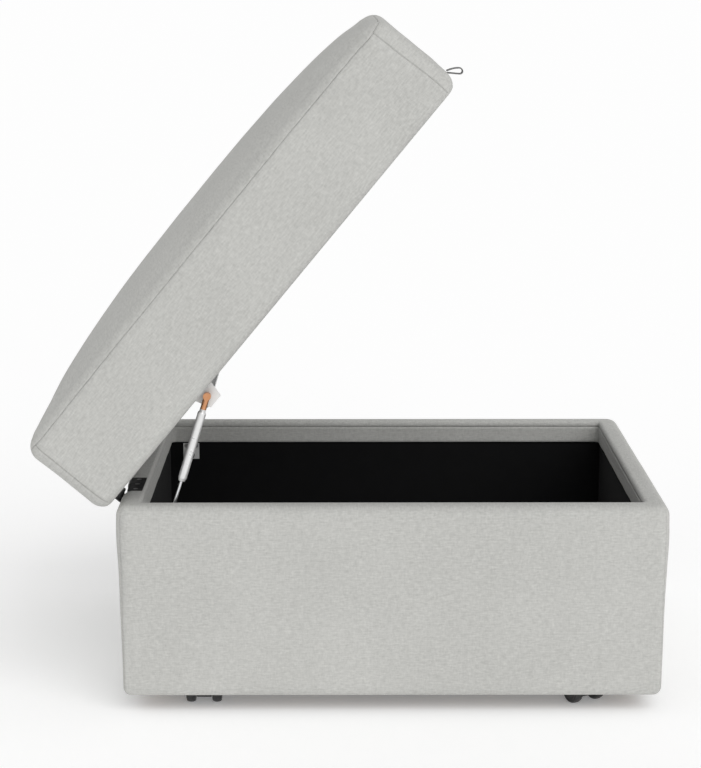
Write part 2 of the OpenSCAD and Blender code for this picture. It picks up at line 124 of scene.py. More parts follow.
def linen(name, dark, light):
    material, shader, make = new_material(name, roughness=0.93, Specular_IOR_Level=0.22,
                                          Sheen_Weight=0.12, Sheen_Roughness=0.5)
    weave = make("UVMap", uv_map="weave").outputs[0]
    place = make("TexCoord").outputs["Object"]
    drift = make("TexNoise", {"Vector": weave, "Scale": 38.0, "Detail": 2.0})
    centred = make("VectorMath", {0: drift.outputs["Color"], 1: (0.5, 0.5, 0.5)},
                   operation="SUBTRACT")
    shift = make("VectorMath", {0: centred.outputs[0], "Scale": 1.6 * MM}, operation="SCALE")
    bent = make("VectorMath", {0: weave, 1: shift.outputs[0]}, operation="ADD")
    axes = make("SeparateXYZ", {0: bent.outputs[0]})
    across = math_node(make, "SINE", math_node(make, "MULTIPLY", axes.outputs[0], math.pi / THREAD))
    along = math_node(make, "SINE", math_node(make, "MULTIPLY", axes.outputs[1], math.pi / THREAD))
    over = math_node(make, "GREATER_THAN", math_node(make, "MULTIPLY", across, along), 0.0)
    warp = math_node(make, "MULTIPLY", across, across)
    weft = math_node(make, "MULTIPLY", along, along)
    thread = make("Mix", {"Factor": over, "A": weft, "B": warp}, data_type="FLOAT").outputs["Result"]
    slub_weft = stretched_noise(make, weave, (105, 430, 1), 3.0, 0.6)
    slub_warp = stretched_noise(make, weave, (400, 130, 1), 3.0, 0.6)
    cloud = stretched_noise(make, place, (150, 150, 150), 3.0, 0.6)
    broad = stretched_noise(make, place, (9, 9, 9), 2.0, 0.5)
    yarn = weighted_sum(make, (slub_weft, 0.62), (slub_warp, 0.38))
    tone = weighted_sum(make, (yarn, 1.45), (cloud, 0.4), (broad, 0.25), (thread, 0.28))
    tone = make("Clamp", {0: math_node(make, "SUBTRACT", tone, 0.69)}).outputs[0]
    height = weighted_sum(make, (thread, 0.5), (yarn, 1.0))
    connect(make, material, shader, two_tones(make, tone, dark, light), height, 0.55, 0.45 * MM)
    return material


linen_cloth = linen("linen_light_grey", (0.385, 0.385, 0.367), (0.665, 0.664, 0.637))

# ---- Outer cover of the base ----
# The linen is cut in four walls, sewn up the corners, pulled over the padded
# rim and turned in under the lower edge. It is cut away round the hinges.
scene = bpy.context.scene
base_lo, base_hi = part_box("base_cover")
base_mid = (base_lo + base_hi) / 2
base_half = (base_hi - base_lo) / 2
CORNER, RIM_ROUND, HEM_ROUND = 20 * MM, 15 * MM, 15 * MM
CORNER_STEPS, RIM_STEPS, HEM_STEPS = 10, 8, 7
WALL, OPENING_ROUND, OPENING_EDGE = 33 * MM, 7 * MM, 6 * MM
HEM_TURN, HEM_LIP, HEM_SAG = 26 * MM, 4 * MM, 4.5 * MM
JOIN_GAP = 1.7 * MM
CLOTH = 1.4 * MM
RIM_CLOTH_DEPTH = 9 * MM
# Where the padding is fullest, over what height, and by how many millimetres.
FULL_AT, FULL_SPREAD, FULL = 222 * MM, 34 * MM, 1.3
# Where it starts to thin downwards, over what height, and by how many millimetres.
TAPER_FROM, TAPER_OVER, TAPER = 235 * MM, 215 * MM, 5.2


def add_block(bm, lo, hi, radius, steps):
    """Block with its four upright edges rounded."""
    made = bmesh.ops.create_cube(bm, size=1)["verts"]
    bmesh.ops.scale(bm, vec=hi - lo, verts=made)
    bmesh.ops.translate(bm, vec=(lo + hi) / 2, verts=made)
    upright = {e for v in made for e in v.link_edges
               if abs(e.verts[0].co.z - e.verts[1].co.z) > 1e-6}
    bmesh.ops.bevel(bm, geom=list(upright), offset=radius, offset_type="OFFSET", segments=steps,
                    profile=0.5, affect="EDGES", material=-1)
    bm.normal_update()


def end_face(bm, side):
    """The widest face that looks up (1) or down (-1)."""
    bm.normal_update()
    return max((f for f in bm.faces if f.normal.z * side > 0.99), key=lambda f: f.calc_area())


def round_end(bm, side, radius, steps):
    edges = list(end_face(bm, side).edges)
    bmesh.ops.bevel(bm, geom=edges, offset=radius, offset_type="OFFSET", segments=steps,
                    profile=0.5, affect="EDGES", material=-1)


def add_tube(bm, inset, radius, z_low, z_high):
    """Four walls at an inset from the base's outline, open above and below."""
    lo = Vector((base_lo.x + inset, base_lo.y + inset, z_low))
    hi = Vector((base_hi.x - inset, base_hi.y - inset, z_high))
    add_block(bm, lo, hi, radius, CORNER_STEPS)
    ends = [end_face(bm, 1), end_face(bm, -1)]
    bmesh.ops.delete(bm, geom=ends, context="FACES")


def level_edges(bm, z, open_only=True):
    return [e for e in bm.edges if all(abs(v.co.z - z) < 1e-6 for v in e.verts)
            and (e.is_boundary or not open_only)]


def join_outline(bm, z, gap):
    """Fills the ring between the outline at a level and the tube that ends a gap short of it."""
    inner = level_edges(bm, z - gap)
    bmesh.ops.bridge_loops(bm, edges=level_edges(bm, z) + inner)
    for vert in {v for e in inner for v in e.verts}:
        vert.co.z = z


def cut_across(bm, axis, at, faces=None):
    """Cuts the mesh, or only some of its faces, by a plane square to an axis."""
    place, normal = Vector(), Vector()
    place[axis], normal[axis] = at, 1
    if faces is None:
        geometry = bm.verts[:] + bm.edges[:] + bm.faces[:]
    else:
        geometry = list({g for f in faces for g in [*f.verts, *f.edges, f]})
    bmesh.ops.bisect_plane(bm, geom=geometry, dist=1e-6, plane_co=place, plane_no=normal)


def slices(bm, axis, start, stop, step):
    """Cuts the faces at even places along an axis, so that the cloth can bend there."""
    count = max(1, round((stop - start) / step))
    for i in range(count + 1):
        cut_across(bm, axis, start + (stop - start) * i / count)


def face_outwards(bm, test):
    """Makes the faces agree, with the test face's normal along the given direction."""
    bmesh.ops.recalc_face_normals(bm, faces=bm.faces[:])
    bm.normal_update()
    face, direction = test(bm)
    if face.normal.dot(direction) < 0:
        bmesh.ops.reverse_faces(bm, faces=bm.faces[:])
    bm.normal_update()


def left_wall(bm):
    return min(bm.faces, key=lambda f: f.calc_center_median().x), Vector((-1, 0, 0))


def base_shell(inner_depth, step):
    """Open shell of the padded walls: under the edge, up, over the rim and down inside."""
    bm = bmesh.new()
    add_block(bm, base_lo, base_hi, CORNER, CORNER_STEPS)
    round_end(bm, 1, RIM_ROUND, RIM_STEPS)
    round_end(bm, -1, HEM_ROUND, HEM_STEPS)
    bmesh.ops.delete(bm, geom=[end_face(bm, 1), end_face(bm, -1)], context="FACES")
    add_tube(bm, WALL, OPENING_ROUND, base_hi.z - inner_depth, base_hi.z - JOIN_GAP)
    add_tube(bm, HEM_TURN, HEM_LIP, base_lo.z + JOIN_GAP, base_lo.z + HEM_LIP)
    join_outline(bm, base_hi.z, JOIN_GAP)
    join_outline(bm, base_lo.z, -JOIN_GAP)
    inner = base_half.x - WALL
    rim_edges = [e for e in level_edges(bm, base_hi.z, False)
                 if any(abs(f.calc_center_median().z - base_hi.z) > 1e-4 for f in e.link_faces)
                 and all(abs(v.co.x - base_mid.x) <= inner + 1e-6 for v in e.verts)
                 and all(abs(v.co.y - base_mid.y) <= base_half.y - WALL + 1e-6 for v in e.verts)]
    bmesh.ops.bevel(bm, geom=rim_edges, offset=OPENING_EDGE, offset_type="OFFSET", segments=5,
                    profile=0.5, affect="EDGES", material=-1)
    reach_x, reach_y = inner - OPENING_ROUND, base_half.y - WALL - OPENING_ROUND
    slices(bm, 0, base_mid.x - reach_x, base_mid.x + reach_x, step)
    slices(bm, 1, base_mid.y - reach_y, base_mid.y + reach_y, step)
    slices(bm, 2, base_lo.z + HEM_ROUND, base_hi.z - RIM_ROUND, step)
    face_outwards(bm, left_wall)
    return bm


def outward(co):
    """Level direction out of the base's rounded outline, and how far past the corner's centre."""
    out = Vector((max(0.0, abs(co.x - base_mid.x) - base_half.x + CORNER),
                  max(0.0, abs(co.y - base_mid.y) - base_half.y + CORNER), 0))
    reach = out.length
    if reach < 1e-9:
        return Vector(), 0.0
    out.x = math.copysign(out.x, co.x - base_mid.x)
    out.y = math.copysign(out.y, co.y - base_mid.y)
    return out / reach, min(1.0, reach / CORNER)


def fit_over_padding(bm):
    """The padding is fullest a little under the rim and thins towards the lower edge."""
    for vert in bm.verts:
        out, share = outward(vert.co)
        drop = max(0.0, (base_lo.z + TAPER_FROM - vert.co.z) / TAPER_OVER)
        full = FULL * math.exp(-((vert.co.z - base_lo.z - FULL_AT) / FULL_SPREAD) ** 2)
        ripple = noise.noise(vert.co * 11) * 0.9 + noise.noise(vert.co * 31) * 0.25
        corner = (2 * abs(out.x * out.y)) ** 3
        taper = TAPER * min(1.0, drop) ** 1.15 * (1 - 0.75 * corner)
        vert.co += out * share * (full - taper + ripple * 0.7) * MM
        vert.co.z -= HEM_SAG * max(0.0, min(1.0, (base_lo.z + 70 * MM - vert.co.z) / (50 * MM)))
    bm.normal_update()


def on_corner_seam(co):
    past = abs(co.x - base_mid.x) - abs(co.y - base_mid.y) - base_half.x + base_half.y
    return abs(past) < 3e-5


def sew(bm, edges, on_seam, width, depth):
    """Draws the cloth in along a seam, with a small round shoulder on each side."""
    bmesh.ops.bevel(bm, geom=edges, offset=width, offset_type="OFFSET", segments=2,
                    profile=0.5, affect="EDGES", material=-1)
    bm.normal_update()
    for vert in [v for v in bm.verts if on_seam(v)]:
        vert.co -= vert.normal * depth
    bm.normal_update()


def unroll(value, straight, radius):
    """Distance along a wall, measured round its rounded corner."""
    past = abs(value) - straight
    if past <= 0:
        return value
    return math.copysign(straight + radius * math.asin(min(1.0, past / radius)), value)


LEVEL, SIDE_STRETCH, END_STRETCH = 0.72, 2, 5


def lay_threads(bm, mid, half, radius):
    """UV map of the weave in metres. Each kind of wall has its own stretch of the cloth."""
    layer = bm.loops.layers.uv.new("weave")
    for face in bm.faces:
        normal = face.normal
        for loop in face.loops:
            p = loop.vert.co - mid
            if abs(normal.z) > LEVEL:
                loop[layer].uv = (p.x, p.y)
            elif abs(normal.x) > abs(normal.y):
                loop[layer].uv = (unroll(p.y, half.y - radius, radius) + SIDE_STRETCH, p.z)
            else:
                loop[layer].uv = (unroll(p.x, half.x - radius, radius) + END_STRETCH, p.z)


def make_piece(bm, name, material, body, replaced=(), thickness=0.0):
    """Object at the origin from a mesh in place. It rides on its body and has the slot's finish."""
    mesh = bpy.data.meshes.new(name)
    bm.to_mesh(mesh)
    bm.free()
    mesh.update()
    mesh.polygons.foreach_set("use_smooth", [True] * len(mesh.polygons))
    mesh.materials.append(material)
    piece = bpy.data.objects.new(name, mesh)
    scene.collection.objects.link(piece)
    if thickness:
        wall = piece.modifiers.new("thickness", "SOLIDIFY")
        wall.thickness = thickness
        wall.offset = -1
        wall.use_rim = True
    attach(piece, body)
    if replaced:
        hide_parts(*replaced)
    return piece


hinge_lo, hinge_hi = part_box("left_hinge_base_leaf")
NOTCH_SIDE, NOTCH_FRONT, NOTCH_DEEP = 3.5 * MM, 0.5 * MM, 26 * MM


def cut_hinge_notches(bm, extra):
    """Cuts the cloth away where the two hinges are screwed to the rear rim."""
    x_near, x_far = abs(hinge_hi.x) - NOTCH_SIDE - extra, abs(hinge_lo.x) + NOTCH_SIDE + extra
    y_from, z_from = hinge_lo.y - NOTCH_FRONT - extra, base_hi.z - NOTCH_DEEP - extra

    def in_notch(co, margin=0.0):
        return (x_near - margin < abs(co.x) < x_far + margin
                and co.y > y_from - margin and co.z > z_from - margin)

    cuts = [(0, s * x) for s in (-1, 1) for x in (x_near, x_far)] + [(1, y_from), (2, z_from)]
    for axis, at in cuts:
        near = [f for f in bm.faces if f.calc_center_median().y > y_from - CORNER
                and f.calc_center_median().z > z_from - CORNER]
        cut_across(bm, axis, at, near)
    inside = [f for f in bm.faces if in_notch(f.calc_center_median())]
    bmesh.ops.delete(bm, geom=inside, context="FACES")
    return [e for e in bm.edges if e.is_boundary and all(in_notch(v.co, 1e-4) for v in e.verts)]


def turn_in(bm, edges, direction, steps):
    """Folds a cut edge of cloth inwards along a direction given for each point."""
    for distance in steps:
        made = bmesh.ops.extrude_edge_only(bm, edges=edges)["geom"]
        for vert in [g for g in made if isinstance(g, bmesh.types.BMVert)]:
            vert.co += direction(vert.co) * distance
        edges = [g for g in made if isinstance(g, bmesh.types.BMEdge) and g.is_boundary
                 and all(w in made for w in g.verts)]
    return edges


def into_rear_padding(co):
    centre = Vector((co.x, min(co.y, base_hi.y - 16 * MM), min(co.z, base_hi.z - 16 * MM)))
    return (centre - co).normalized()


def seam_shows(co):
    """The seam shows where the corner is wide, and runs out on the rim and under the edge."""
    return on_corner_seam(co) and outward(co)[1] > 0.66


shell = base_shell(RIM_CLOTH_DEPTH, 8 * MM)
seam = [e for e in shell.edges if all(seam_shows(v.co) for v in e.verts)]
sew(shell, seam, lambda v: seam_shows(v.co), 0.8 * MM, 1.1 * MM)
notch_edges = cut_hinge_notches(shell, 0.0)
fit_over_padding(shell)
turn_in(shell, notch_edges, into_rear_padding, [1.5 * MM, 7.2 * MM])


reach_x, reach_y = base_half.x - WALL - OPENING_ROUND, base_half.y - WALL - OPENING_ROUND


def into_rim(co):
    """Level direction from the opening into the wall's padding."""
    out = Vector((max(0.0, abs(co.x - base_mid.x) - reach_x),
                  max(0.0, abs(co.y - base_mid.y) - reach_y), 0))
    out.x = math.copysign(out.x, co.x - base_mid.x)
    out.y = math.copysign(out.y, co.y - base_mid.y)
    return out.normalized()


inner_edges = level_edges(shell, base_hi.z - RIM_CLOTH_DEPTH)
turn_in(shell, inner_edges, lambda co: into_rim(co) - Vector((0, 0, 0.35)), [0.9 * MM, 2.2 * MM])
shell.normal_update()
lay_threads(shell, base_mid, base_half, CORNER)
outer_cover = make_piece(shell, "outer_cover", linen_cloth, "root", ["base_cover"],
                         CLOTH)

# ---- Inner band ----
# A strip of the same linen goes round the inside of the rim. It is sewn to
# the cover along the top and folded under, over the lining's upper edge.
band_lo, band_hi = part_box("inner_band")
BAND_TOP, BAND_STEP, SIDE_CLOTH = band_hi.z - 9.5 * MM, 12 * MM, 1.1 * MM
band = bmesh.new()
add_tube(band, WALL, OPENING_ROUND, band_lo.z + 1.2 * MM, BAND_TOP)
slices(band, 0, base_mid.x - reach_x, base_mid.x + reach_x, BAND_STEP)
slices(band, 1, base_mid.y - reach_y, base_mid.y + reach_y, BAND_STEP)
slices(band, 2, band_lo.z + 5 * MM, band_hi.z - 13 * MM, BAND_STEP / 2)
face_outwards(band, lambda bm: (left_wall(bm)[0], Vector((1, 0, 0))))
for vert in band.verts:
    vert.co += into_rim(vert.co) * noise.noise(vert.co * 23) * 0.5 * MM
turn_in(band, level_edges(band, BAND_TOP), lambda co: into_rim(co) + Vector((0, 0, 0.3)),
        [0.9 * MM, 2.2 * MM])
low = [e for e in band.edges if e.is_boundary and e.verts[0].co.z < band_lo.z + 4 * MM]
low = turn_in(band, low, lambda co: into_rim(co) * 0.5 - Vector((0, 0, 0.87)), [0.9 * MM])
turn_in(band, low, into_rim, [1.2 * MM, 2.4 * MM])
band.normal_update()
lay_threads(band, base_mid, base_half, OPENING_ROUND)
rim_band = make_piece(band, "rim_band", linen_cloth, "root", ["inner_band"],
                      SIDE_CLOTH)

# ---- Padding of the base ----
# Cut polyurethane foam is wrapped round the plywood walls and glued over
# their top edge. It gives the cover its soft round edges.


def foam(name):
    material, shader, make = new_material(name, roughness=0.95, Specular_IOR_Level=0.2)
    place = make("TexCoord").outputs["Object"]
    cells = make("TexVoronoi", {"Vector": place, "Scale": 620.0})
    cloud = stretched_noise(make, place, (30, 30, 30), 3.0)
    pits = math_node(make, "MULTIPLY", cells.outputs["Distance"], 1.4)
    tone = weighted_sum(make, (pits, 0.7), (cloud, 0.3))
    connect(make, material, shader, two_tones(make, tone, (0.52, 0.43, 0.22), (0.80, 0.72, 0.48)),
            pits, 0.7, 0.6 * MM)
    return material


foam_finish = foam("upholstery_foam")
FOAM_WALL, FOAM_DEPTH, FOAM_STEP, FOAM_CLEAR = 6 * MM, 34 * MM, 16 * MM, 4 * MM
padding = base_shell(FOAM_DEPTH, FOAM_STEP)
cut_hinge_notches(padding, FOAM_CLEAR)
fit_over_padding(padding)
for vert in padding.verts:
    vert.co -= vert.normal * (CLOTH + 0.5 * MM)
wall_foam = make_piece(padding, "wall_foam", foam_finish, "root", ["side_foam", "rim_foam"],
                       FOAM_WALL)

# ---- Lid padding and covers ----
# The lid is a foam block on a plywood board in a boxed linen cover: a top
# panel, two side panels and two end panels, sewn together with plain seams.
nodes = frame["nodes"]
joints = {j["name"]: j for j in frame["joints"]}
pivot = Vector(joints["lid_hinge"]["pos_m"])
lid_angle = math.radians(joints["lid_hinge"]["range_deg"][1])
open_lid = (Matrix.Translation(pivot) @ Matrix.Rotation(-lid_angle, 4, "X")
            @ Matrix.Translation(-pivot))
close_lid = open_lid.inverted()


def closed_box(name):
    """Box of a lid part with the lid turned shut."""
    points = [close_lid @ v.co for v in nodes[name].data.vertices]
    return (Vector([min(p[i] for p in points) for i in range(3)]),
            Vector([max(p[i] for p in points) for i in range(3)]))


box_lo, box_hi = closed_box("lid_boxing")
crown_top = closed_box("lid_top_panel")[1].z
LID_CORNER, LID_TOP_ROUND, LID_LOW_ROUND = 27 * MM, 24 * MM, 18 * MM
LID_STEPS, TOP_STEPS, LOW_STEPS = 8, 6, 5
SLACK, END_FULL, UNDER_LIFT, TOP_LIFT = 3.0 * MM, 3.5 * MM, 0.5 * MM, 4.5 * MM
TOP, SIDE, END, UNDER = range(4)
lid_lo = Vector((box_lo.x + SLACK, box_lo.y - END_FULL, box_lo.z + UNDER_LIFT))
lid_hi = Vector((box_hi.x - SLACK, box_hi.y + END_FULL, box_hi.z + TOP_LIFT))
lid_mid, lid_half = (lid_lo + lid_hi) / 2, (lid_hi - lid_lo) / 2
CROWN = crown_top - lid_hi.z + 5 * MM
LID_STEP = 13 * MM


def lid_block():
    """Closed block of the lid before it swells, with its panels marked by material number."""
    bm = bmesh.new()
    add_block(bm, lid_lo, lid_hi, LID_CORNER, LID_STEPS)
    round_end(bm, 1, LID_TOP_ROUND, TOP_STEPS)
    round_end(bm, -1, LID_LOW_ROUND, LOW_STEPS)
    reach_x, reach_y = lid_half.x - LID_CORNER, lid_half.y - LID_CORNER
    slices(bm, 0, lid_mid.x - reach_x, lid_mid.x + reach_x, LID_STEP)
    slices(bm, 1, lid_mid.y - reach_y, lid_mid.y + reach_y, LID_STEP)
    slices(bm, 2, lid_lo.z + LID_LOW_ROUND, lid_hi.z - LID_TOP_ROUND, LID_STEP)
    face_outwards(bm, left_wall)
    seam_z = lid_hi.z - LID_TOP_ROUND * 0.5
    for face in bm.faces:
        c = face.calc_center_median() - lid_mid
        past_x, past_y = abs(c.x) - reach_x, abs(c.y) - reach_y
        if c.z + lid_mid.z > seam_z:
            face.material_index = TOP
        elif face.normal.z < -0.999:
            face.material_index = UNDER
        elif past_y > 0 and past_y > math.tan(math.radians(22.5)) * past_x:
            face.material_index = END
        else:
            face.material_index = SIDE
    for vert in bm.verts:
        share = (vert.co.z - lid_hi.z + LID_TOP_ROUND) / LID_TOP_ROUND
        if share > 0:
            x = min(1.0, abs(vert.co.x - lid_mid.x) / lid_half.x)
            y = min(1.0, abs(vert.co.y - lid_mid.y) / lid_half.y)
            vert.co.z += CROWN * (1 - y ** 2.8) * (1 - x ** 2.6) * min(1.0, share) ** 1.5
    bm.normal_update()
    return bm


def in_fixed_order(bm):
    """The same mesh with its points and faces sorted by place, so that every run swells alike."""
    def place(co):
        return tuple(round(part / (0.01 * MM)) for part in co)

    made = bmesh.new()
    twins = {v: made.verts.new(v.co) for v in sorted(bm.verts, key=lambda v: place(v.co))}
    for face in sorted(bm.faces, key=lambda f: place(f.calc_center_median())):
        corners = list(face.verts)
        first = corners.index(min(corners, key=lambda v: place(v.co)))
        twin = made.faces.new([twins[v] for v in corners[first:] + corners[:first]])
        twin.material_index = face.material_index
    made.normal_update()
    bm.free()
    return made


def swollen(bm, name, pressure, frames, cap):
    """Cloth simulation: air inside swells the cover, whose underside is held by the board."""
    bm = in_fixed_order(bm)
    mesh = bpy.data.meshes.new(name)
    bm.to_mesh(mesh)
    bm.free()
    body = bpy.data.objects.new(name, mesh)
    scene.collection.objects.link(body)
    rest = [v.co.copy() for v in mesh.vertices]
    held = body.vertex_groups.new(name="held")
    held.add([v.index for v in mesh.vertices if v.co.z < lid_lo.z + 3 * MM], 1.0, "REPLACE")
    sim = body.modifiers.new("swell", "CLOTH")
    sim.settings.quality = 5
    sim.settings.use_pressure = True
    sim.settings.uniform_pressure_force = pressure
    sim.settings.vertex_group_mass = "held"
    sim.settings.effector_weights.gravity = 0
    sim.point_cache.frame_start, sim.point_cache.frame_end = 1, frames
    for number in range(1, frames + 1):
        scene.frame_set(number)
    seen = body.evaluated_get(bpy.context.evaluated_depsgraph_get())
    shifts = [v.co - r for v, r in zip(seen.data.vertices, rest)]
    shifts = [s - v.normal * 0.85 * min(0.0, s.dot(v.normal))
              for v, s in zip(mesh.vertices, shifts)]
    body.modifiers.remove(sim)
    scene.frame_set(1)
    for vert, at, shift in zip(mesh.vertices, rest, shifts):
        length = shift.length
        vert.co = at + (shift * (cap * math.tanh(length / cap) / length) if length > 1e-9 else shift)
    smooth = body.modifiers.new("smooth", "SUBSURF")
    smooth.levels = smooth.render_levels = 1
    seen = body.evaluated_get(bpy.context.evaluated_depsgraph_get())
    made = bmesh.new()
    made.from_mesh(seen.data)
    bpy.data.objects.remove(body)
    made.normal_update()
    return made


def panels_meet(part):
    return len({f.material_index for f in part.link_faces}) > 1


block = swollen(lid_block(), "lid_swelling", pressure=4.0, frames=20, cap=7 * MM)
lid_foam_mesh = block.copy()
for vert in block.verts:
    if vert.co.z > lid_lo.z + 3 * MM:
        vert.co += vert.normal * noise.noise(vert.co * 17) * 0.6 * MM
block.normal_update()
seams = [e for e in block.edges
         if panels_meet(e) and not any(f.material_index == UNDER for f in e.link_faces)]
bmesh.ops.bevel(block, geom=seams, offset=0.8 * MM, offset_type="OFFSET", segments=2, profile=0.5,
                affect="EDGES", material=-1)
block.normal_update()
for vert in [v for v in block.verts if panels_meet(v) and v.co.z > lid_lo.z + 4 * MM]:
    vert.co -= vert.normal * 1.5 * MM
block.normal_update()

# The covers meet at the seams with their edges turned in.
hem_lo, hem_hi = closed_box("lid_dust_cover")
top_cloth, side_cloth = block, block.copy()
others = [f for f in top_cloth.faces if f.material_index != TOP]
bmesh.ops.delete(top_cloth, geom=others, context="FACES")
others = [f for f in side_cloth.faces if f.material_index == TOP]
bmesh.ops.delete(side_cloth, geom=others, context="FACES")
for axis in (0, 1):
    for at in (hem_lo[axis], hem_hi[axis]):
        under = [f for f in side_cloth.faces if f.material_index == UNDER]
        cut_across(side_cloth, axis, at, under)
hidden = [f for f in side_cloth.faces if f.material_index == UNDER
          and hem_lo.x < f.calc_center_median().x < hem_hi.x
          and hem_lo.y < f.calc_center_median().y < hem_hi.y]
bmesh.ops.delete(side_cloth, geom=hidden, context="FACES")


def into_lid(co):
    """Direction from a seam towards the foam inside it."""
    reach = [lid_half[i] - 30 * MM for i in (0, 1)]
    centre = [max(-reach[i], min(reach[i], co[i] - lid_mid[i])) + lid_mid[i] for i in (0, 1)]
    return (Vector((*centre, lid_hi.z - 26 * MM)) - co).normalized()


for cloth in (top_cloth, side_cloth):
    rim = [e for e in cloth.edges if e.is_boundary and e.verts[0].co.z > lid_mid.z]
    turn_in(cloth, rim, into_lid, [2.5 * MM])
    cloth.normal_update()
    for face in cloth.faces:
        face.material_index = 0
    lay_threads(cloth, lid_mid, lid_half, LID_CORNER)
    bmesh.ops.transform(cloth, matrix=open_lid, verts=cloth.verts)
lid_top = make_piece(top_cloth, "lid_top_cover", linen_cloth, "lid",
                     ["lid_top_panel"], CLOTH)
lid_side = make_piece(side_cloth, "lid_side_cover", linen_cloth, "lid",
                      ["lid_boxing"], SIDE_CLOTH)

# The foam fills the covers and sits on the board, so its underside is flat.
board_lo, board_hi = closed_box("lid_board")
for vert in lid_foam_mesh.verts:
    vert.co -= vert.normal * (CLOTH + 0.9 * MM)
    vert.co.z = max(vert.co.z, lid_lo.z + 2.5 * MM)
for axis, at in ((0, board_lo.x), (0, board_hi.x), (1, board_lo.y), (1, board_hi.y)):
    for shift in (-0.3 * MM, 0.3 * MM):
        cut_across(lid_foam_mesh, axis, at + shift)
for vert in lid_foam_mesh.verts:
    inside = (board_lo.x - 0.1 * MM < vert.co.x < board_hi.x + 0.1 * MM
              and board_lo.y - 0.1 * MM < vert.co.y < board_hi.y + 0.1 * MM)
    if vert.co.z < lid_lo.z + 4 * MM and inside:
        vert.co.z = board_hi.z + 0.3 * MM
for face in lid_foam_mesh.faces:
    face.material_index = 0
bmesh.ops.transform(lid_foam_mesh, matrix=open_lid, verts=lid_foam_mesh.verts)
lid_padding = make_piece(lid_foam_mesh, "lid_padding", foam_finish, "lid", ["lid_foam"])

# ---- Black cloth under the lid and under the base ----
# A sheet of black non-woven cloth is folded under at its edges and stapled
# on. One closes the underside of the lid, one the bottom of the base.


def dust_cloth(name):
    material, shader, make = new_material(name, roughness=0.92, Specular_IOR_Level=0.18,
                                          Sheen_Weight=0.08, Sheen_Roughness=0.5)
    place = make("TexCoord").outputs["Object"]
    dimples = make("TexVoronoi", {"Vector": place, "Scale": 420.0, "Randomness": 0.35})
    fibres = stretched_noise(make, place, (240, 900, 900), 4.0, 0.7)
    cloud = stretched_noise(make, place, (18, 18, 18), 3.0)
    tone = weighted_sum(make, (fibres, 0.7), (cloud, 0.4))
    height = weighted_sum(make, (dimples.outputs["Distance"], 1.2), (fibres, 1.0))
    colour = two_tones(make, tone, (0.006, 0.006, 0.0065), (0.022, 0.022, 0.023))
    connect(make, material, shader, colour, height, 0.4, 0.25 * MM)
    return material


def staple_steel(name):
    material, shader, make = new_material(name, roughness=0.32, metallic=1.0)
    place = make("TexCoord").outputs["Object"]
    wear = stretched_noise(make, place, (500, 500, 500), 2.0)
    connect(make, material, shader, two_tones(make, wear, (0.42, 0.42, 0.43), (0.62, 0.62, 0.61)))
    return material


non_woven = dust_cloth("black_non_woven")
bright_steel = staple_steel("staple_steel")


GRID = 14 * MM


def stapled_cloth(lo, hi, seed, hole_centres=(), hole_half=0.0):
    """Flat cloth that faces down, a little slack between its staples, with its edge folded up."""
    bm = bmesh.new()
    bmesh.ops.create_grid(bm, x_segments=2, y_segments=2, size=0.5)
    bmesh.ops.scale(bm, vec=(hi.x - lo.x, hi.y - lo.y, 1), verts=bm.verts)
    bmesh.ops.translate(bm, vec=((lo.x + hi.x) / 2, (lo.y + hi.y) / 2, lo.z), verts=bm.verts)
    slices(bm, 0, lo.x + GRID, hi.x - GRID, GRID)
    slices(bm, 1, lo.y + GRID, hi.y - GRID, GRID)
    for centre in hole_centres:
        for axis in (0, 1):
            for side in (-1, 1):
                cut_across(bm, axis, centre[axis] + side * hole_half)
        inside = [f for f in bm.faces if all(
            abs(f.calc_center_median()[axis] - centre[axis]) < hole_half for axis in (0, 1))]
        bmesh.ops.delete(bm, geom=inside, context="FACES")
    bmesh.ops.recalc_face_normals(bm, faces=bm.faces[:])
    bm.normal_update()
    if bm.faces[:][0].normal.z > 0:
        bmesh.ops.reverse_faces(bm, faces=bm.faces[:])
    edge = [e for e in bm.edges if e.is_boundary]
    for vert in bm.verts:
        if not vert.is_boundary:
            vert.co.z += noise.noise(Vector((vert.co.x * 14, vert.co.y * 14, seed))) * 0.25 * MM
    turn_in(bm, edge, lambda co: Vector((0, 0, 1)), [0.5 * MM])
    return bm


STAPLE = (10 * MM, 1.1 * MM, 0.55 * MM)


def staples(bm, places):
    """Wire staples pressed flat into the cloth. Each place is a point and the staple's angle."""
    for point, angle in places:
        made = bmesh.ops.create_cube(bm, size=1)["verts"]
        bmesh.ops.scale(bm, vec=STAPLE, verts=made)
        edges = {e for v in made for e in v.link_edges}
        crown = bmesh.ops.bevel(bm, geom=list(edges), offset=0.2 * MM, offset_type="OFFSET",
                                segments=1, profile=0.5, affect="EDGES", material=-1)
        island = {v for f in crown["faces"] for v in f.verts}
        bmesh.ops.rotate(bm, verts=list(island), matrix=Matrix.Rotation(angle, 3, "Z"))
        bmesh.ops.translate(bm, verts=list(island), vec=point)


def staple_row(lo, hi, z, seed, step=42 * MM):
    """Places along the four sides of a rectangle, each staple a little out of line."""
    found = []
    rows = [(1, lo.x, lo.y, hi.y), (1, hi.x, lo.y, hi.y), (0, lo.y, lo.x, hi.x),
            (0, hi.y, lo.x, hi.x)]
    for axis, at, first, last in rows:
        count = round((last - first) / step)
        for i in range(count):
            wobble = noise.noise(Vector((i * 3.7, at * 91, seed)))
            point = Vector((0, 0, z))
            point[axis] = first + (last - first) * (i + 0.5) / count + wobble * 4 * MM
            point[1 - axis] = at + wobble * 1.2 * MM
            found.append((point, (math.pi / 2 if axis else 0) + wobble * 0.25))
    return found


